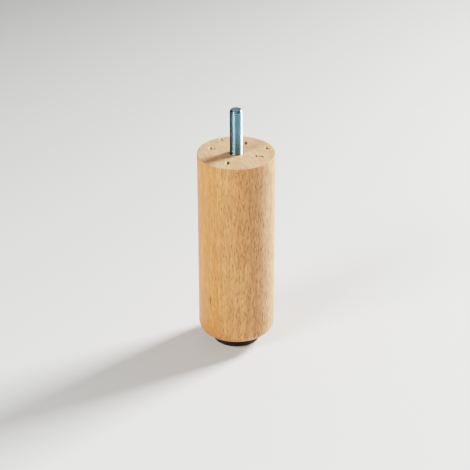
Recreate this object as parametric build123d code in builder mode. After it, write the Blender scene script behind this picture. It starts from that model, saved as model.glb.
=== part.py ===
from build123d import *
import os

os.makedirs("parts", exist_ok=True)

# Turned beech furniture leg with a threaded stud on top and a levelling foot below.
# Millimetres, +Z up. The origin is on the floor under the middle of the foot,
# and the foot is screwed fully in.

# Turned leg
leg_diameter = 60.0
leg_height = 155.0
leg_lift = 8.0  # how far the foot holds the wood off the floor
lower_edge_radius = 8.0
upper_edge_break = 0.4

# M10 coarse thread, the same on the stud and on the levelling screw
thread_diameter = 10.0
thread_pitch = 1.5
thread_depth = 0.6134 * thread_pitch
thread_root_radius = thread_diameter / 2 - thread_depth

# Hanger stud: machine thread above the wood, wood-screw end inside it
stud_exposed_length = 36.0
stud_neck_length = 5.0
stud_buried_length = 40.0
stud_core_radius = 3.5
stud_point_length = 7.0
stud_mouth_radius = 5.8  # countersink in the wood round the stud
stud_mouth_angle = 90.0

# Prints of the prongs of the lathe's driving centre in the top. It was set twice: all
# four prints of one setting are there, and two of the other, farther out. Bearings
# are from +X, in degrees.
print_centre = (0.6, -0.5)
inner_print_count = 4
inner_print_radius = 19.4
inner_print_bearing = 69.0
outer_print_count = 2
outer_print_radius = 25.2
outer_print_bearing = 16.0
outer_print_span = 99.0
print_length = 4.0
print_width = 2.0
print_depth = 1.6
print_taper = 26.0

# Four-prong tee nut, its flange against the floor of a counterbore in the underside
counterbore_depth = 3.5
counterbore_diameter = 27.0
nut_flange_diameter = 26.0
nut_flange_thickness = 1.5
nut_height = 13.0
nut_barrel_diameter = 12.4
nut_running_clearance = 0.08
prong_count = 4
prong_distance = 10.0  # from the axis to the inner face of a prong
prong_thickness = 1.4
prong_width = 3.6
prong_height = 8.0
prong_tip_width = 0.6
prong_slot_width = 5.0  # what is left open in the flange where a prong was folded up

# Levelling screw
stem_top = 42.0
stem_bore_diameter = 11.0
stem_bore_top = 62.0
collar_sides = 6
collar_across_flats = 15.0
collar_bottom = 4.7
collar_gap = 0.2  # between the collar and the nut when the foot is fully in
collar_corner_drop = 0.9
head_diameter = 13.0
head_bottom = 1.4
head_top = 3.1
neck_diameter = 8.4

# Foot base, moulded round the screw's head
base_diameter = 37.0
base_height = 4.4
base_lower_chamfer = 0.5
base_shoulder_drop = 0.9
base_shoulder_width = 2.2
socket_clearance = 0.1
socket_diameter = 13.4
mouth_diameter = 9.4
tread_inner_radius = 15.2  # the outer ring that stands on the floor
hub_radius = 8.2
underside_recess = 0.7
rib_count = 6
rib_width = 1.4

wood_bottom = leg_lift
wood_top = leg_lift + leg_height
stud_top = wood_top + stud_exposed_length
nut_bottom = wood_bottom + counterbore_depth - nut_flange_thickness
collar_top = nut_bottom - collar_gap
collar_corner_radius = collar_across_flats / 3**0.5


# Hanger stud. The threads are plain cylinders of their outer diameter, the point
# and the unthreaded neck have their own.
with BuildPart() as hanger_stud:
    with BuildSketch(Plane.XZ):
        with BuildLine():
            Polyline(
                (0, wood_top - stud_buried_length),
                (stud_core_radius, wood_top - stud_buried_length + stud_point_length),
                (stud_core_radius, wood_top - stud_neck_length),
                (thread_root_radius, wood_top - stud_neck_length),
                (thread_root_radius, wood_top),
                (thread_diameter / 2, wood_top),
                (thread_diameter / 2, stud_top - thread_depth),
                (thread_root_radius, stud_top),
                (0, stud_top),
                close=True,
            )
        make_face()
    revolve(axis=Axis.Z)
hanger_stud.part.label = "hanger_stud"
export_step(hanger_stud.part, "parts/hanger_stud.step")


# Tee nut, pressed from sheet: a round flange, a barrel drawn up from it and four
# pointed prongs folded up from slots in its rim.
with BuildPart() as tee_nut:
    with BuildSketch(Plane.XY.offset(nut_bottom)):
        Circle(nut_flange_diameter / 2)
        with PolarLocations(nut_flange_diameter / 2, prong_count):
            Rectangle(
                nut_flange_diameter - 2 * (prong_distance + prong_thickness),
                prong_slot_width,
                mode=Mode.SUBTRACT,
            )
    extrude(amount=nut_flange_thickness)
    with BuildSketch(Plane.XY.offset(nut_bottom)):
        Circle(nut_barrel_diameter / 2)
    extrude(amount=nut_height)
    for prong_face in (Plane.YZ, Plane.XZ):
        with BuildSketch(prong_face.offset(prong_distance)):
            with BuildLine():
                Polyline(
                    (-prong_width / 2, nut_bottom),
                    (-prong_width / 2, nut_bottom + nut_flange_thickness),
                    (-prong_tip_width / 2, nut_bottom + nut_flange_thickness + prong_height),
                    (prong_tip_width / 2, nut_bottom + nut_flange_thickness + prong_height),
                    (prong_width / 2, nut_bottom + nut_flange_thickness),
                    (prong_width / 2, nut_bottom),
                    close=True,
                )
            make_face()
        extrude(amount=prong_thickness)
        mirror(about=prong_face)
    Hole(radius=thread_diameter / 2 + nut_running_clearance)
tee_nut.part.label = "tee_nut"
export_step(tee_nut.part, "parts/tee_nut.step")


# Levelling screw: a plain stem of the thread's outer diameter, a hex collar for a
# spanner, and below it the neck and the round head that the foot base is moulded round.
with BuildPart() as levelling_screw:
    with BuildSketch(Plane.XY.offset(collar_bottom)):
        RegularPolygon(collar_across_flats / 2, collar_sides, major_radius=False)
    extrude(amount=collar_top - collar_bottom)
    with BuildSketch(Plane.XZ):
        with BuildLine():
            Polyline(
                (collar_across_flats / 2, collar_top),
                (collar_corner_radius, collar_top - collar_corner_drop),
                (collar_corner_radius, collar_top),
                close=True,
            )
        make_face()
    revolve(axis=Axis.Z, mode=Mode.SUBTRACT)
    with BuildSketch(Plane.XZ):
        with BuildLine():
            Polyline(
                (0, head_bottom),
                (head_diameter / 2, head_bottom),
                (head_diameter / 2, head_top),
                (neck_diameter / 2, head_top),
                (neck_diameter / 2, collar_top),
                (thread_diameter / 2, collar_top),
                (thread_diameter / 2, stem_top - thread_depth),
                (thread_root_radius, stem_top),
                (0, stem_top),
                close=True,
            )
        make_face()
    revolve(axis=Axis.Z)
levelling_screw.part.label = "levelling_screw"
export_step(levelling_screw.part, "parts/levelling_screw.step")


# Foot base: a moulded disc with a sloping shoulder. The screw's head turns in a socket
# under its lip, and the underside is lightened between the hub, the ribs and the
# ring that stands on the floor.
with BuildPart() as foot_base:
    with BuildSketch(Plane.XY):
        Circle(base_diameter / 2)
    extrude(amount=base_height)
    chamfer(foot_base.edges().sort_by(Axis.Z)[0], length=base_lower_chamfer)
    chamfer(
        foot_base.edges().sort_by(Axis.Z)[-1],
        length=base_shoulder_drop,
        length2=base_shoulder_width,
        reference=foot_base.faces().filter_by(GeomType.CYLINDER)[0],
    )
    with BuildSketch(Plane.XY.offset(head_bottom - socket_clearance)):
        Circle(socket_diameter / 2)
    extrude(amount=head_top - head_bottom + 2 * socket_clearance, mode=Mode.SUBTRACT)
    with BuildSketch(Plane.XY.offset(head_top)):
        Circle(mouth_diameter / 2)
    extrude(amount=base_height - head_top, mode=Mode.SUBTRACT)
    with BuildSketch(Plane.XY):
        Circle(tread_inner_radius)
        Circle(hub_radius, mode=Mode.SUBTRACT)
        with PolarLocations(0, rib_count // 2, angular_range=180):
            Rectangle(2 * tread_inner_radius, rib_width, mode=Mode.SUBTRACT)
    extrude(amount=underside_recess, mode=Mode.SUBTRACT)
foot_base.part.label = "foot_base"
export_step(foot_base.part, "parts/foot_base.step")


# Turned leg: one cylinder of beech, drilled from both ends. The stud and the tee
# nut leave their own shape in the wood that they are driven into.
with BuildPart() as turned_leg:
    with BuildSketch(Plane.XY.offset(wood_bottom)):
        Circle(leg_diameter / 2)
    extrude(amount=leg_height)
    fillet(turned_leg.edges().sort_by(Axis.Z)[0], radius=lower_edge_radius)
    chamfer(turned_leg.edges().sort_by(Axis.Z)[-1], length=upper_edge_break)
    with Locations(Plane(origin=(0, 0, wood_bottom), z_dir=(0, 0, -1))):
        CounterBoreHole(
            radius=stem_bore_diameter / 2,
            counter_bore_radius=counterbore_diameter / 2,
            counter_bore_depth=counterbore_depth,
            depth=stem_bore_top - wood_bottom,
        )
    with Locations(Plane.XY.offset(wood_top)):
        CounterSinkHole(
            radius=thread_root_radius,
            counter_sink_radius=stud_mouth_radius,
            counter_sink_angle=stud_mouth_angle,
            depth=stud_neck_length,
        )
    with BuildSketch(Plane.XY.offset(wood_top)):
        with Locations(print_centre):
            with PolarLocations(inner_print_radius, inner_print_count, inner_print_bearing):
                SlotOverall(print_length, print_width)
        with PolarLocations(
            outer_print_radius,
            outer_print_count,
            outer_print_bearing,
            outer_print_span,
            endpoint=True,
        ):
            SlotOverall(print_length, print_width)
    extrude(amount=-print_depth, taper=print_taper, mode=Mode.SUBTRACT)
    add(hanger_stud.part, mode=Mode.SUBTRACT)
    add(tee_nut.part, mode=Mode.SUBTRACT)
turned_leg.part.label = "turned_leg"
export_step(turned_leg.part, "parts/turned_leg.step")
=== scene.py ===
import math
import bmesh
import bpy
import numpy as np
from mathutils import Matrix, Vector


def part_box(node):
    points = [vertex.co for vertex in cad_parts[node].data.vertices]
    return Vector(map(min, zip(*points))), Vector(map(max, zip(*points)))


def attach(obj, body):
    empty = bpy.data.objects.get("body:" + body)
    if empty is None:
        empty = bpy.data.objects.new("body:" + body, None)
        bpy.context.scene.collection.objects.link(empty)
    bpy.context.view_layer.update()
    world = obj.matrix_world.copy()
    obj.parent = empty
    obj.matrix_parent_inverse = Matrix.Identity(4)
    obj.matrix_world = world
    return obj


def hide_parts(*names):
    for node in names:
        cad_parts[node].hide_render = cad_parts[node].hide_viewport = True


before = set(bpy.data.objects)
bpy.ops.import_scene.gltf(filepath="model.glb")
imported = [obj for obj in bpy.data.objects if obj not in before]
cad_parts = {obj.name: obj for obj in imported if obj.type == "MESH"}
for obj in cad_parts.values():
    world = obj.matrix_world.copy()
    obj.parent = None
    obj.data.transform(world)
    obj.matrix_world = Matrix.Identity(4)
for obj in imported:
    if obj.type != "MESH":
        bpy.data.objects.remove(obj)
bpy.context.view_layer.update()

# An adjustable furniture leg: a turned beech cylinder with a threaded zinc stud in its
# top and a black levelling foot below. Metres, +Z up, the floor at zero.
MM = 0.001

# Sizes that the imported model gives
wood_low, wood_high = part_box("turned_leg")
stud_low, stud_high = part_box("hanger_stud")
screw_low, screw_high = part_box("levelling_screw")
base_low, base_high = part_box("foot_base")
leg_radius = (wood_high.x - wood_low.x) / 2
wood_bottom, wood_top = wood_low.z, wood_high.z
thread_radius = (stud_high.x - stud_low.x) / 2
nut_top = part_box("tee_nut")[1].z
base_radius = (base_high.x - base_low.x) / 2
base_top = base_high.z

# Turned leg
lower_edge_radius = 8 * MM
upper_edge_radius = 0.4 * MM
stud_mouth_radius = 5.8 * MM
counterbore_radius = 13.5 * MM
counterbore_top = wood_bottom + 3.5 * MM
nut_barrel_radius = 6.2 * MM
stem_bore_radius = 5.5 * MM
stem_bore_top = 62 * MM

# Prints of the prongs of the lathe's driving centre: middle of the setting, distance
# from it, and bearing in degrees from +X. Lengths are in millimetres, as in the painted
# shade of the prints and the burr below.
PRINTS = (
    (0.6, -0.5, 19.4, 69),
    (0.6, -0.5, 19.4, 159),
    (0.6, -0.5, 19.4, 249),
    (0.6, -0.5, 19.4, 339),
    (0.0, 0.0, 25.2, 16),
    (0.0, 0.0, 25.2, 115),
)
print_half_length = 2.0
print_half_width = 1.0
print_depth = 1.6
print_floor_half_width = 0.22

# Painted shade in and round the prints, where the pits and the fibres round them fall in
# shade: middle, half sizes along X and Y, how dark the shade is, and how far the fibres
# left of it are raised, which also paints them lighter as a highlight
PAINTED_PRINT_SHADE = (
    (7.4, 16.9, 1.3, 2.9, 0.95, 0.9),
    (-19.2, 7.3, 0.9, 2.5, 0.9, 1.0),
    (-16.5, 8.0, 0.6, 1.6, 0.4, 0.7),
    (-6.3, -18.4, 0.9, 3.2, 1.2, 1.0),
    (-4.9, -18.7, 0.6, 2.6, 0.45, 0.0),
    (15.4, -6.2, 0.8, 1.6, 1.1, 0.4),
    (17.7, -7.1, 1.4, 0.9, 0.25, 0.0),
    (20.1, -7.4, 1.0, 1.7, 0.6, 0.0),
    (23.5, 8.3, 0.8, 2.4, 0.6, 0.9),
    (-11.1, 24.0, 0.8, 2.2, 0.4, 0.9),
    (-8.6, 25.6, 0.7, 2.2, 0.3, 0.5),
    (5.3, 10.9, 0.7, 1.2, 0.4, 0.0),
)
print_shade_edge = (0.7, 1.3)  # where the soft edge of a patch of painted shade begins and ends, in half sizes
ridge_gap = 1.0  # from the left of a patch of painted shade to the middle of its ridge of raised fibres
ridge_half_width = 0.55
ridge_half_length = 0.8  # in half sizes
raised_height = 0.25

# Ragged burr on one side of the stud's mouth, whose raised fibres are also painted lighter as a
# highlight
burr_radius = 6.9
burr_half_width = 0.7
burr_bearing = -52
burr_half_span = 30
burr_mean, burr_swing, burr_wave = 0.6, 0.3, 0.45  # the wave in radians per degree

# M10 coarse thread
thread_pitch = 1.5 * MM
thread_depth = 0.6134 * thread_pitch
thread_root_radius = thread_radius - thread_depth
thread_chamfer = 0.9 * MM
stud_thread_bottom = wood_top - 2 * MM

# Wood-screw end of the stud, inside the wood
stud_core_radius = 3.5 * MM
stud_core_top = wood_top - 5 * MM
stud_point_length = 7 * MM
wood_thread_pitch = 3.2 * MM
wood_thread_height = 1.0 * MM
wood_thread_half_width = 0.22  # in pitches
wood_thread_rows = 12  # of the mesh, in one pitch

# Levelling screw
collar_across_flats = 15 * MM
collar_bottom, collar_top = 4.7 * MM, 9.8 * MM
collar_corner_drop = 0.9 * MM
head_radius = 6.5 * MM
head_top = 3.1 * MM
neck_radius = 4.2 * MM

# Foot base
base_corner_radius = 0.5 * MM
base_shoulder_drop = 0.9 * MM
base_shoulder_width = 2.2 * MM
socket_radius = 6.7 * MM
socket_bottom, socket_top = 1.3 * MM, 3.2 * MM
mouth_radius = 4.7 * MM
mouth_edge_radius = 0.3 * MM
tread_inner_radius = 15.2 * MM
hub_radius = 8.2 * MM
underside_recess = 0.7 * MM
recess_wall = 0.4 * MM  # how wide the slope of the recess's walls is
rib_count = 6
rib_top_half_width = 0.55 * MM

# Columns of the meshes, all round, and the distance at which two points are one
LEG_COLUMNS = 420
METAL_COLUMNS = 96
FOOT_COLUMNS = 360
FLOOR_COLUMNS = 96
SAME_POINT = 1e-7


def run(start, end, steps):
    """Points of a straight run of a section, as (radius, height) rows, from start to
    just before end, evenly spaced."""
    share = np.arange(steps)[:, None] / steps
    return np.array(start) * (1 - share) + np.array(end) * share


def path(points, steps):
    """Straight runs from each point to the next one, with so many steps in each."""
    return np.vstack([run(*stretch) for stretch in zip(points, points[1:], steps)])


def arc(centre, radius, first, last, steps):
    """Points of a round stretch of a section: centre plus radius times the cosine and
    sine of an angle that goes from first to just before last, in degrees."""
    angle = np.radians(first + (last - first) * np.arange(steps) / steps)
    return np.array(centre) + radius * np.column_stack([np.cos(angle), np.sin(angle)])


def smooth(value, low, high):
    """0 below low, 1 above high, and a soft S between them."""
    share = np.clip((value - low) / (high - low), 0, 1)
    return share * share * (3 - 2 * share)


def even_bearings(columns):
    """Bearings all round, evenly spaced, with the first one again at the end."""
    return np.linspace(0, 2 * math.pi, columns + 1)


def rings(radius, height, bearings):
    """Grid of points round the Z axis: point (i, j) is (r_ij cos b_j, r_ij sin b_j, z_ij).
    A radius or a height may also be one number for each row."""
    level = height * np.ones_like(bearings)
    return np.stack([radius * np.cos(bearings), radius * np.sin(bearings), level], axis=2)


def revolved(section, bearings):
    """Surface of revolution: each (radius, height) of the section is carried round the
    Z axis."""
    return rings(section[:, :1], section[:, 1:], bearings)


def thread_drop(turn):
    """How far a 60 degree thread lies under its crest, where turn is the place along
    the axis in pitches: a parabola over the rolled crest, down a 30 degree flank, then
    a parabola through the root at the full depth."""
    away = np.abs(turn - np.round(turn))
    crest_half, root_half = 1 / 16, 1 / 8
    steepness = thread_pitch / math.tan(math.radians(30))
    crest = away ** 2 / (4 * crest_half) * steepness
    flank = (away - crest_half) * steepness
    flank_end = (0.5 - root_half - crest_half) * steepness
    root = thread_depth - (thread_depth - flank_end) * ((0.5 - away) / root_half) ** 2
    return np.where(away < 2 * crest_half, crest, np.where(away < 0.5 - root_half, flank, root))


def threaded(bottom, top, bearings):
    """Screw thread between two heights. Its rows follow the helix: the height of row k
    at bearing b is a whole number of steps plus b / 2 pi pitches, held between bottom
    and top. The radius is the crest's less the thread's drop, and no more than the
    cones that lead the thread in over one pitch and chamfer its end. Rows are placed
    where the profile bends."""
    crest_to_root = [0.035, 0.07, 0.125, 0.21, 0.29, 0.375, 0.43]
    root_to_crest = [1 - share for share in reversed(crest_to_root)]
    steps = np.array([0, *crest_to_root, 0.5, *root_to_crest])
    turns = int(math.ceil((top - bottom) / thread_pitch)) + 1
    along = (np.arange(-1, turns)[:, None] + steps).reshape(-1, 1)
    turn = along + bearings / (2 * math.pi)
    height = np.clip(bottom + turn * thread_pitch, bottom, top)
    radius = thread_radius - thread_drop(along)
    radius = np.minimum(radius, thread_root_radius + (height - bottom) / thread_pitch * thread_depth)
    radius = np.minimum(radius, thread_root_radius + (top - height) / thread_chamfer * thread_depth)
    return rings(radius, height, bearings)


def thread_face(height, bearings):
    """The round face in which a thread ends."""
    face = run((thread_root_radius, height), (0, height), 4)
    return revolved(np.vstack([face, [(0, height)]]), bearings)


def linked_object(name, data):
    """Object with the given data, linked to the scene."""
    made = bpy.data.objects.new(name, data)
    bpy.context.scene.collection.objects.link(made)
    return made


def grid_object(name, grid, material):
    """Object with a grid of points as its mesh. Neighbouring rows and columns span its
    faces."""
    rows, columns = grid.shape[:2]
    first = (np.arange(rows - 1)[:, None] * columns + np.arange(columns - 1)).ravel()
    faces = np.column_stack([first, first + 1, first + columns + 1, first + columns])
    mesh = bpy.data.meshes.new(name)
    mesh.from_pydata(grid.reshape(-1, 3).tolist(), [], faces.tolist())
    mesh.materials.append(material)
    return linked_object(name, mesh)


def piece(name, grid, body, material, sharp_degrees=35):
    """A piece of the product that rides on a body. Points that coincide, at the seam,
    the poles and the ends of a thread, are merged."""
    made = grid_object(name, grid, material)
    mesh = made.data
    shell = bmesh.new()
    shell.from_mesh(mesh)
    bmesh.ops.remove_doubles(shell, verts=shell.verts, dist=SAME_POINT)
    bmesh.ops.dissolve_degenerate(shell, edges=shell.edges, dist=SAME_POINT)
    bmesh.ops.recalc_face_normals(shell, faces=shell.faces)
    shell.to_mesh(mesh)
    shell.free()
    mesh.shade_smooth()
    mesh.set_sharp_from_angle(angle=math.radians(sharp_degrees))
    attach(made, body)
    return made


class Value:
    """An output socket of a material. Python's operators on it add Math nodes."""

    def __init__(self, finish, socket):
        self.finish, self.socket = finish, socket

    def __add__(self, other):
        return self.finish.math("ADD", self, other)

    def __sub__(self, other):
        return self.finish.math("SUBTRACT", self, other)

    def __rsub__(self, other):
        return self.finish.math("SUBTRACT", other, self)

    def __mul__(self, other):
        return self.finish.math("MULTIPLY", self, other)

    def __truediv__(self, other):
        return self.finish.math("DIVIDE", self, other)

    def __pow__(self, other):
        return self.finish.math("POWER", self, other)

    def __abs__(self):
        return self.finish.math("ABSOLUTE", self)

    __radd__, __rmul__ = __add__, __mul__


class Finish:
    """A material in the making, with its Principled shader."""

    def __init__(self, name, **constants):
        self.material = bpy.data.materials.new(name)
        self.material.use_nodes = True
        self.tree = self.material.node_tree
        self.shader = self.tree.nodes["Principled BSDF"]
        for socket, value in constants.items():
            self.shader.inputs[socket.replace("_", " ")].default_value = value

    def node(self, kind, settings, sockets, output=0):
        """Adds a node: its settings first, then the values or links of its sockets."""
        made = self.tree.nodes.new(kind)
        for name, value in settings.items():
            setattr(made, name, value)
        for key, value in sockets.items():
            if isinstance(value, Value):
                self.tree.links.new(value.socket, made.inputs[key])
            else:
                made.inputs[key].default_value = value
        return Value(self, made.outputs[output])

    def math(self, operation, *values):
        """A Math node on values and numbers."""
        return self.node("ShaderNodeMath", {"operation": operation}, dict(enumerate(values)))

    def parts(self, vector):
        """The three components of a vector."""
        return [self.node("ShaderNodeSeparateXYZ", {}, {0: vector}, axis) for axis in range(3)]

    def place(self):
        """Object coordinates in millimetres."""
        here = self.node("ShaderNodeTexCoord", {}, {}, "Object")
        return [along / MM for along in self.parts(here)]

    def facing(self):
        """The direction that the surface faces, in the object's own axes."""
        return self.parts(self.node("ShaderNodeTexCoord", {}, {}, "Normal"))

    def at(self, x, y, z):
        """A vector of three components."""
        return self.node("ShaderNodeCombineXYZ", {}, {0: x, 1: y, 2: z})

    def noise(self, x, y, z, detail=2.0, rough=0.5):
        """Smooth noise from 0 to 1, where x, y and z are already divided by its grain."""
        sockets = {"Vector": self.at(x, y, z), "Scale": 1.0, "Detail": detail, "Roughness": rough}
        return self.node("ShaderNodeTexNoise", {"noise_dimensions": "3D"}, sockets)

    def dashes(self, x, y, width, strength):
        """Scattered blots, one in each unit square of x and y, that reach as far as
        width from their middle. Each has its own strength, from 1 - strength to 1."""
        settings = {"voronoi_dimensions": "2D"}
        sockets = {"Vector": self.at(x, y, 0.0), "Scale": 1.0, "Randomness": 1.0}
        away = self.node("ShaderNodeTexVoronoi", settings, sockets, "Distance")
        chance = self.parts(self.node("ShaderNodeTexVoronoi", settings, sockets, "Color"))[0]
        return self.step(away, width, width * 0.4) * (1 - strength * chance)

    def oval(self, place, middle, wide, tall):
        """Distance from a point, 1 on an upright oval of the given half sizes round it."""
        sizes = (wide, wide, tall)
        offset = [(along - start) / size for along, start, size in zip(place, middle, sizes)]
        sockets = {0: self.at(*offset)}
        return self.node("ShaderNodeVectorMath", {"operation": "LENGTH"}, sockets, "Value")

    def step(self, value, low, high):
        """0 at low, 1 at high, and a soft S between them. low may be above high."""
        sockets = {0: value, 1: low, 2: high, 3: 0.0, 4: 1.0}
        return self.node("ShaderNodeMapRange", {"interpolation_type": "SMOOTHSTEP"}, sockets)

    def limit(self, value, low, high):
        """The value, held between low and high."""
        return self.math("MINIMUM", self.math("MAXIMUM", value, low), high)

    def mix(self, share, first, second):
        """The first colour where share is 0, the second where it is 1."""
        sockets = {0: share, 6: first, 7: second}
        return self.node("ShaderNodeMix", {"data_type": "RGBA"}, sockets, 2)

    def shade(self, colour, amount):
        """The colour made lighter or darker by a factor."""
        grey = self.at(amount, amount, amount)
        return self.node("ShaderNodeVectorMath", {"operation": "MULTIPLY"}, {0: colour, 1: grey})

    def done(self, colour, roughness=None, height=None, depth=0.0):
        """Links the colour, the roughness and a bump of the given depth in metres."""
        links = self.tree.links
        links.new(colour.socket, self.shader.inputs["Base Color"])
        if roughness is not None:
            links.new(roughness.socket, self.shader.inputs["Roughness"])
        if height is not None:
            sockets = {"Strength": 1.0, "Distance": depth, "Height": height}
            bump = self.node("ShaderNodeBump", {}, sockets)
            links.new(bump.socket, self.shader.inputs["Normal"])
        return self.material


def rgb(red, green, blue):
    """A colour given in display values from 0 to 255, in the linear values of a socket."""
    display = np.array([red, green, blue]) / 255
    linear = np.where(display <= 0.04045, display / 12.92, ((display + 0.055) / 1.055) ** 2.4)
    return (*linear.tolist(), 1.0)


def beech():
    """Solid beech. The year rings are cylinders round a pith that lies outside the leg,
    behind it and to the left. The rays are thin lens-shaped sheets that point at the
    pith: short dark dashes where the surface is tangent to the rings, faint pale flecks
    where it is radial, and fine lines on the end grain. The wood is paler on the right,
    partly away from the pith and partly as a painted sheen where the key lamp grazes it.
    There is a pin knot near the top and a short gum streak near the foot. A point
    attribute paints shade, up to 1, in and round the prints of the driving centre, and a
    highlight, below 0, on the fibres raised beside them. Places and grain sizes are in
    millimetres."""
    pith_distance, pith_bearing, ring_width = 78.0, math.radians(125), 2.3
    pith_x, pith_y = pith_distance * math.cos(pith_bearing), pith_distance * math.sin(pith_bearing)
    knot_middle, knot_half_width, knot_half_height = (0.0, -30.0, 157.2), 2.3, 3.2
    gum_middle, gum_half_width, gum_half_height = (-20.5, -21.9, 44.8), 0.8, 4.8
    rim = leg_radius / MM
    wood = Finish("beech", IOR=1.5)

    # Where a point lies in the tree, and which way the surface cuts it
    x, y, z = wood.place()
    east, north = x - pith_x, y - pith_y
    from_pith = (east * east + north * north) ** 0.5
    across = wood.math("ARCTAN2", north, east) * (pith_distance + rim)
    across = across + (wood.noise(across / 9, 0.0, z / 24, 2) - 0.5) * 1.8
    nx, ny, nz = wood.facing()
    radius = (x * x + y * y) ** 0.5
    on_top = wood.step(radius, rim - 0.5, rim - 0.9) * wood.step(z, 150, 155)
    end_grain = wood.math("MAXIMUM", wood.step(abs(nz), 0.6, 0.85), on_top)
    tangent = abs((nx * east + ny * north) / from_pith)

    # Patterns
    ring = from_pith / ring_width + wood.noise(across / 30, from_pith / 9, z / 160, 2) * 2.4
    late = wood.math("FRACT", ring) ** 3.0
    rays = wood.math("MAXIMUM", wood.dashes(across / 1.9, z / 15, 0.21, 0.6),
                     wood.dashes(across / 2.3 + 7.4, z / 11 + 3.7, 0.19, 0.6))
    fine_rays = wood.dashes(across / 1.15 + 40, z / 6.5, 0.27, 0.9)
    pale_rays = wood.dashes(across / 2.2 + 20, z / 8 + 9, 0.36, 0.9)
    end_rays = wood.dashes(across / 1.1 + 90, from_pith / 9, 0.35, 0.9)
    patch = wood.noise(across / 12, from_pith / 30, z / 60, 2)
    stripe = wood.noise(across / 3.2, from_pith / 12, z / 80, 3, 0.65)
    figure = wood.noise(across / 1.15, from_pith / 1.15, z / 9, 3, 0.7)
    line = wood.noise(across / 1.3 + 50, from_pith / 1.3, z / 45, 2, 0.6)
    fibre = wood.noise(across / 0.4, from_pith / 0.4, z / 5, 1)
    pores = wood.noise(x / 0.3, y / 0.3, z / 3, 2)
    # Painted shade in and round the prints above 0, a painted highlight on raised fibres below 0
    print_shade_and_highlight = wood.node("ShaderNodeAttribute", {"attribute_name": "print_shade_and_highlight"}, {}, "Fac")

    # Dark marks of the side
    flat_rays = (rays * 0.95 + fine_rays * 0.45) * tangent ** 1.5
    strokes = wood.step(figure, 0.47, 0.30) * (tangent * 0.5 + 0.05)
    gum = wood.oval((x, y, z), gum_middle, gum_half_width, gum_half_height)
    gum = wood.step(gum, 1.1, 0.5) * 1.2
    knot = wood.oval((x, y, z), knot_middle, knot_half_width, knot_half_height) + (figure - 0.5) * 0.9
    knot_heart = wood.step(knot, 0.4, 0.15) * 0.6
    knot_ring = wood.step(abs(knot - 1), 0.3, 0.0) * wood.step(z, 153, 157) * 0.35
    dark = wood.math("MINIMUM", flat_rays + strokes + gum + (knot_heart + knot_ring), 1.0)

    # Colour of the side
    side = wood.mix(wood.step(from_pith, 76, 110), rgb(225, 141, 77), rgb(215, 150, 97))
    side = wood.mix(wood.step(patch, 0.35, 0.65) * 0.5, side, rgb(207, 130, 84))
    side = wood.mix(wood.step(stripe, 0.42, 0.70) * 0.6, side, rgb(192, 116, 66))
    # Painted sheen: from x = 8 mm on, the side that the key lamp grazes is painted paler and less
    # orange
    side = wood.mix(wood.step(x, 8, 28) * 0.6, side, rgb(212, 164, 119))
    side = wood.mix(dark, side, rgb(138, 82, 44))
    light = pale_rays * 0.12 + rays * (1 - tangent) * 0.12 - late * 0.06
    light = light + wood.step(figure, 0.52, 0.70) * 0.16
    light = light + (figure - 0.5) * 0.50 + (line - 0.5) * 0.50 + (fibre - 0.5) * 0.16
    side = wood.shade(side, 1.0 + light)

    # Colour of the end grain
    top = wood.mix(wood.step(patch, 0.35, 0.65), rgb(199, 156, 116), rgb(194, 147, 112))
    grain = wood.noise(across / 1.6, from_pith / 7, 0.0, 3, 0.65)
    light = 1.0 - late * 0.14 + (end_rays - 0.2) * 0.20
    light = light + (grain - 0.5) * 1.3 + (pores - 0.5) * 0.2
    top = wood.shade(top, light)

    colour = wood.mix(end_grain, side, top)
    # Painted shade in and round the prints, and a painted highlight on the raised fibres and the burr
    colour = wood.mix(print_shade_and_highlight, colour, rgb(58, 30, 14))
    colour = wood.shade(colour, 1 + wood.step(print_shade_and_highlight, 0.0, -0.8) * 0.9)
    roughness = 0.46 + (fibre - 0.5) * 0.2 + end_grain * 0.16
    height = 0.5 + (fibre - 0.5) * 0.5 - flat_rays * 0.5 + end_grain * (pores - 0.5) * 0.7
    return wood.done(colour, roughness, height, 0.05 * MM)


def zinc(name, bright, dull, roughness):
    """Passivated zinc on steel: a thin blue tint that varies from place to place, and
    fine matte spots of the electroplating. The roots of the M10 thread get painted shade,
    and the sheared ends, which lie inside their radius, are a little darker too."""
    metal = Finish(name, Metallic=1.0)
    x, y, z = metal.place()
    cloud = metal.noise(x / 4, y / 4, z / 6, 3)
    grain = metal.noise(x / 0.25, y / 0.25, z / 0.25, 2)
    colour = metal.mix(metal.step(cloud, 0.3, 0.7), bright, dull)
    radius = (x * x + y * y) ** 0.5
    # Painted shade in the thread roots; the ends, inside that radius, get a little of the darkening
    # too
    painted_root_shade, outside_end = metal.step(radius, 4.78, 4.32), metal.step(radius, 3.6, 4.05)
    colour = metal.shade(colour, 1.0 - painted_root_shade * (0.34 + outside_end * 0.44))
    shine = roughness + (cloud - 0.5) * 0.06 + (grain - 0.5) * 0.10
    return metal.done(colour, shine, grain, 0.012 * MM)


def moulded_polyamide():
    """Black glass-filled polyamide: near-black, with the fine even texture of a spark
    eroded mould and a slight mottle in its gloss."""
    plastic = Finish("black_polyamide", IOR=1.53)
    x, y, z = plastic.place()
    texture = plastic.noise(x / 0.35, y / 0.35, z / 0.35, 3, 0.65)
    mottle = plastic.noise(x / 5, y / 5, z / 5, 2)
    colour = plastic.mix(plastic.step(mottle, 0.3, 0.7), rgb(24, 24, 25), rgb(32, 32, 33))
    shine = 0.48 + (mottle - 0.5) * 0.12 + (texture - 0.5) * 0.12
    return plastic.done(colour, shine, texture, 0.03 * MM)


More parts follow.
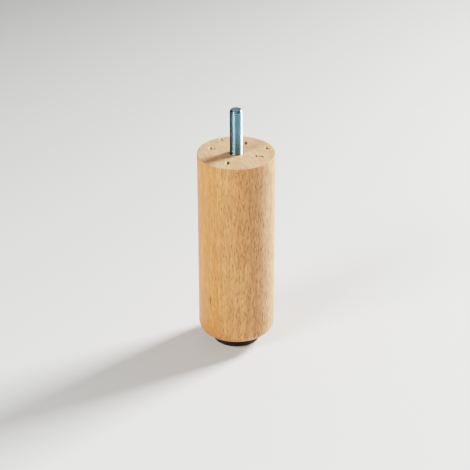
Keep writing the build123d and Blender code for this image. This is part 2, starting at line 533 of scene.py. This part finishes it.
def studio_floor():
    """Pale seamless paper with a barely visible grain. Painted shade darkens it away from
    the camera, and painted light makes it lighter to the right."""
    tone_here, painted_shade_per_mm, painted_light_per_mm, warmth = 0.736, 0.00051, 0.00010, 0.965
    paper = Finish("studio_paper", Roughness=0.9)
    x, y = paper.place()[:2]
    grain = paper.noise(x / 1.5, y / 1.5, 0.0, 3)
    # Painted shade away from the camera and painted light to the right
    depth = paper.limit(y, -250.0, 900.0)
    side = paper.limit(x, -400.0, 400.0)
    tone = tone_here - depth * painted_shade_per_mm + side * painted_light_per_mm + (grain - 0.5) * 0.01
    return paper.done(paper.at(tone, tone, tone * warmth))


def print_places():
    """For each print the middle in millimetres and the direction it points in."""
    for east, north, distance, bearing in PRINTS:
        toward = np.array([math.cos(math.radians(bearing)), math.sin(math.radians(bearing))])
        yield np.array([east, north]) + distance * toward, toward


def bearings_near_prints(columns):
    """Bearings all round, closer together near the prints. Their density is 1 plus a
    bell curve at each print, and its running sum is turned round to give bearings
    that share it out evenly."""
    extra_density, reach = 3.5, 1.8
    fine = np.linspace(0, 2 * math.pi, 7201)
    density = np.ones_like(fine)
    for middle, toward in print_places():
        bearing, distance = math.atan2(middle[1], middle[0]), math.hypot(*middle)
        away = (fine - bearing + math.pi) % (2 * math.pi) - math.pi
        density += extra_density * np.exp(-((away * distance / reach) ** 2))
    total = np.concatenate([[0], np.cumsum((density[1:] + density[:-1]) / 2)])
    return np.interp(np.linspace(0, total[-1], columns + 1), total, fine)


def bell(distance, half_width):
    """A bell curve: e to the minus square of the distance over the half width."""
    return np.exp(-((distance / half_width) ** 2))


def end_grain_relief(x, y):
    """Height of the end grain against its plane in metres, and the painted shade and
    highlight it gets. A print is a slot with sloping walls: its depth depends on the
    distance from a short line that points at the middle of the setting. The patches of
    painted shade are ovals with a soft edge, the fibres stand up in a small bell-shaped
    ridge on their left, and in a ragged burr on one side of the stud, and these raised
    fibres get a painted highlight."""
    x, y = x / MM, y / MM
    relief, print_shade_and_highlight, loose = np.zeros_like(x), np.zeros_like(x), np.zeros_like(x)
    for middle, toward in print_places():
        east, north = x - middle[0], y - middle[1]
        along = east * toward[0] + north * toward[1]
        beside = north * toward[0] - east * toward[1]
        over = np.clip(np.abs(along) - (print_half_length - print_half_width), 0, None)
        away = np.hypot(over, beside)
        pit = np.clip((print_half_width - away) / (print_half_width - print_floor_half_width), 0, 1)
        relief -= print_depth * pit
    # Patches of painted shade round the prints, and raised fibres that also get a painted highlight
    for east, north, half_x, half_y, dark, raised in PAINTED_PRINT_SHADE:
        across, along = (x - east) / half_x, (y - north) / half_y
        print_shade_and_highlight = np.maximum(print_shade_and_highlight, dark * (1 - smooth(np.hypot(across, along), *print_shade_edge)))
        from_ridge = x - east + half_x + ridge_gap
        loose += raised * bell(from_ridge, ridge_half_width) * bell(along, ridge_half_length)
    radius, bearing = np.hypot(x, y), np.degrees(np.arctan2(y, x))
    burr = bell(radius - burr_radius, burr_half_width) * bell(bearing - burr_bearing, burr_half_span)
    loose += burr * (burr_mean + burr_swing * np.sin(bearing * burr_wave))
    return (relief + raised_height * loose) * MM, print_shade_and_highlight - loose


def turned_leg():
    """The beech cylinder: one closed section from the end of the foot's bore, down and
    out under the leg, round its lower edge, up its side, over its top and down the
    stud's hole, carried round the axis. The relief of the prints is added to its top."""
    edge = upper_edge_radius
    underside_radius = leg_radius - lower_edge_radius
    lower_edge_top = wood_bottom + lower_edge_radius
    mouth_bottom = wood_top - (stud_mouth_radius - thread_root_radius)
    point_top = stud_low.z + stud_point_length
    below = [
        (0, stem_bore_top),
        (stem_bore_radius, stem_bore_top),
        (stem_bore_radius, nut_top),
        (nut_barrel_radius, nut_top),
        (nut_barrel_radius, counterbore_top),
        (counterbore_radius, counterbore_top),
        (counterbore_radius, wood_bottom),
        (underside_radius, wood_bottom),
    ]
    above = [
        (leg_radius - edge, wood_top),
        (stud_mouth_radius, wood_top),
        (thread_root_radius, mouth_bottom),
        (thread_root_radius, stud_core_top),
        (stud_core_radius, stud_core_top),
        (stud_core_radius, point_top),
        (0, stud_low.z),
    ]
    section = np.vstack([
        path(below, (3, 8, 1, 3, 4, 3, 4)),
        arc((underside_radius, lower_edge_top), lower_edge_radius, -90, 0, 20),
        run((leg_radius, lower_edge_top), (leg_radius, wood_top - edge), 24),
        arc((leg_radius - edge, wood_top - edge), edge, 0, 90, 4),
        path(above, (96, 3, 2, 1, 6, 3)),
        [(0, stud_low.z)],
    ])
    grid = revolved(section, bearings_near_prints(LEG_COLUMNS))
    flat_top = np.isclose(grid[:, :, 2], wood_top, atol=SAME_POINT)
    relief = end_grain_relief(grid[:, :, 0], grid[:, :, 1])[0]
    grid[:, :, 2] += np.where(flat_top, relief, 0)
    leg = piece("beech_leg", grid, "leg", beech(), 30)
    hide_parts("turned_leg")

    spots = np.empty(len(leg.data.vertices) * 3)
    leg.data.vertices.foreach_get("co", spots)
    spots = spots.reshape(-1, 3)
    # Painted shade in the prints and a painted highlight on the raised fibres, kept as a point
    # attribute
    print_shade_and_highlight = end_grain_relief(spots[:, 0], spots[:, 1])[1]
    print_shade_and_highlight = np.where(spots[:, 2] > wood_top - (print_depth + 0.1) * MM, print_shade_and_highlight, 0)
    leg.data.attributes.new("print_shade_and_highlight", "FLOAT", "POINT").data.foreach_set("value", print_shade_and_highlight)


def hanger_stud(metal):
    """The stud: a point and a core with a steep wood thread inside the leg, a plain neck,
    and the machine thread above the wood, with a chamfer at its end. The wood thread is
    a ridge along a helix. Its height falls evenly to nothing on both sides of its crest,
    and fades out over one turn at both ends."""
    bearings = even_bearings(METAL_COLUMNS)
    turns = (stud_core_top - stud_low.z) / wood_thread_pitch
    along = np.linspace(0, 1, int(turns * wood_thread_rows))[:, None]
    height = stud_low.z + along * (stud_core_top - stud_low.z)
    core = np.minimum(stud_core_radius, (height - stud_low.z) / stud_point_length * stud_core_radius)
    turn = (height - stud_low.z) / wood_thread_pitch - bearings / (2 * math.pi)
    from_crest = np.abs(turn - np.round(turn))
    ridge = np.clip(1 - from_crest / wood_thread_half_width, 0, 1) * wood_thread_height
    fade = np.clip(np.minimum(along, 1 - along) * turns, 0, 1)
    buried = rings(core + ridge * fade, height, bearings)
    neck = run((thread_root_radius, stud_core_top), (thread_root_radius, stud_thread_bottom), 2)
    thread = threaded(stud_thread_bottom, stud_high.z, bearings)
    end = thread_face(stud_high.z, bearings)
    grid = np.concatenate([buried, revolved(neck, bearings), thread, end])
    stud = piece("threaded_stud", grid, "leg", metal)
    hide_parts("hanger_stud")


def levelling_screw(metal):
    """The levelling screw: the round head, the neck, the hexagonal collar and the
    threaded stem. The collar's radius at a bearing is its half width over the cosine of
    the bearing's distance from the middle of the nearest flat, and a cone takes off its
    upper corners."""
    bearings = even_bearings(METAL_COLUMNS)
    half = collar_across_flats / 2
    sixth = math.pi / 3
    hexagon = half / np.cos((bearings + sixth / 2) % sixth - sixth / 2)
    corner = half / math.cos(sixth / 2)
    drop = collar_corner_drop * np.clip((hexagon - half) / (corner - half), 0, None)
    outline = [
        (0, screw_low.z),
        (head_radius, screw_low.z),
        (head_radius, head_top),
        (neck_radius, head_top),
        (neck_radius, collar_bottom),
    ]
    head = revolved(np.vstack([path(outline, (3, 3, 2, 2)), outline[-1:]]), bearings)
    level = np.ones_like(bearings)
    collar = rings(
        np.array([hexagon, hexagon, np.minimum(hexagon, half), thread_root_radius * level]),
        np.array([collar_bottom * level, collar_top - drop, collar_top * level, collar_top * level]),
        bearings,
    )
    stem = threaded(collar_top, screw_high.z, bearings)
    end = thread_face(screw_high.z, bearings)
    grid = np.concatenate([head, collar, stem, end])
    screw = piece("threaded_levelling_screw", grid, "screw", metal)
    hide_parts("levelling_screw")


def foot_base():
    """The moulded foot: a disc with rounded edges and a sloping shoulder, a socket for
    the screw's head under its lip, and an underside lightened between hub, ribs and
    tread. The recess is a plateau in radius times one in the distance from each rib."""
    corner, lip = base_corner_radius, mouth_edge_radius
    shoulder_bottom = base_top - base_shoulder_drop
    slope_start, rounding_end = base_radius - corner * 0.6, 65
    below = [
        (0, 0),
        (hub_radius - recess_wall, 0),
        (hub_radius + recess_wall, 0),
        (tread_inner_radius - recess_wall, 0),
        (tread_inner_radius + recess_wall, 0),
        (base_radius - corner, 0),
    ]
    shoulder = [
        (slope_start, shoulder_bottom),
        (base_radius - base_shoulder_width, base_top),
        (mouth_radius + lip, base_top),
    ]
    socket = [
        (mouth_radius, base_top - lip),
        (mouth_radius, socket_top),
        (socket_radius, socket_top),
        (socket_radius, socket_bottom),
        (0, socket_bottom),
    ]
    section = np.vstack([
        path(below, (4, 6, 8, 6, 3)),
        arc((base_radius - corner, corner), corner, -90, 0, 6),
        run((base_radius, corner), (base_radius, shoulder_bottom - corner), 4),
        arc((base_radius - corner, shoulder_bottom - corner), corner, 0, rounding_end, 6),
        path(shoulder, (6, 10)),
        arc((mouth_radius + lip, base_top - lip), lip, 90, 180, 4),
        path(socket, (3, 2, 2, 3)),
        [(0, socket_bottom)],
    ])
    bearings = even_bearings(FOOT_COLUMNS)
    grid = revolved(section, bearings)
    radius = np.hypot(grid[:, :, 0], grid[:, :, 1])
    half = recess_wall / 2
    ring = smooth(radius, hub_radius - half, hub_radius + half)
    ring = ring * (1 - smooth(radius, tread_inner_radius - half, tread_inner_radius + half))
    sector = 2 * math.pi / rib_count
    from_rib = radius * np.abs(np.sin((bearings + sector / 2) % sector - sector / 2))
    clear = smooth(from_rib, rib_top_half_width, rib_top_half_width + recess_wall)
    grid[:, :, 2] += np.where(grid[:, :, 2] < SAME_POINT, underside_recess * ring * clear, 0)
    base = piece("moulded_foot", grid, "foot", moulded_polyamide(), 40)
    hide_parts("foot_base")


def floor():
    """A disc of seamless paper, in rings whose radius grows with the square of their
    number. It rides on the foot that stands on it, so that screwing the foot out lifts
    the leg off it."""
    reach, steps = 12.0, 24
    radius = reach * (np.arange(steps + 1) / steps)[:, None] ** 2
    grid = rings(radius, 0 * radius, even_bearings(FLOOR_COLUMNS))
    face_up = grid[:, ::-1]
    made = grid_object("studio_floor", face_up, studio_floor())
    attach(made, "foot")


def softbox(name, azimuth, elevation, distance, size, power):
    """A square lamp that looks at the middle of the leg from a bearing and an elevation
    in degrees. Distance and size are in metres, and power is in watts."""
    lamp = bpy.data.lights.new(name, "AREA")
    lamp.shape, lamp.size, lamp.energy = "SQUARE", size, power
    made = linked_object(name, lamp)
    turn, rise = math.radians(azimuth), math.radians(elevation)
    toward = Vector((math.cos(rise) * math.cos(turn), math.cos(rise) * math.sin(turn), math.sin(rise)))
    leg_middle = Vector((0, 0, 0.09))
    made.location = leg_middle + toward * distance
    made.rotation_euler = toward.to_track_quat("Z", "Y").to_euler()


def studio_light():
    """A nearly dark studio, a key softbox behind and to the right, a weaker one in front
    and to the left, and two dim ones that the stud mirrors."""
    world = bpy.data.worlds.new("studio")
    bpy.context.scene.world = world
    world.use_nodes = True
    background = world.node_tree.nodes["Background"].inputs
    background["Color"].default_value = (1.0, 1.0, 1.0, 1.0)
    background["Strength"].default_value = 0.02
    softbox("key", 35, 27, 1.6, 0.45, 69)
    softbox("fill", -138, 34, 1.6, 0.60, 22)
    softbox("ceiling", 90, 88, 1.6, 0.90, 1.8)
    softbox("back_wall", 90, 30, 2.0, 1.20, 1.4)


def camera():
    """The photograph's viewpoint."""
    lens = bpy.data.cameras.new("camera")
    lens.lens, lens.sensor_width, lens.sensor_fit = 127.14, 36, "HORIZONTAL"
    made = linked_object("camera", lens)
    made.location = (-0.00071, -1.14325, 0.71029)
    made.rotation_euler = [math.radians(angle) for angle in (61.575, 0.136, -0.056)]
    bpy.context.scene.camera = made


turned_leg()
hanger_stud(zinc("zinc_on_stud", rgb(208, 246, 255), rgb(192, 236, 254), 0.24))
levelling_screw(zinc("zinc_on_screw", rgb(196, 200, 202), rgb(172, 178, 182), 0.30))
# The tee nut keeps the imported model's own mesh, and only gets its finish here
nut_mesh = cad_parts["tee_nut"].data
nut_mesh.materials.clear()
nut_mesh.materials.append(zinc("zinc_on_nut", rgb(190, 194, 196), rgb(160, 166, 170), 0.35))
foot_base()
floor()
studio_light()
camera()
bpy.context.scene.view_settings.view_transform = "Filmic"
bpy.context.scene.view_settings.look = "High Contrast"
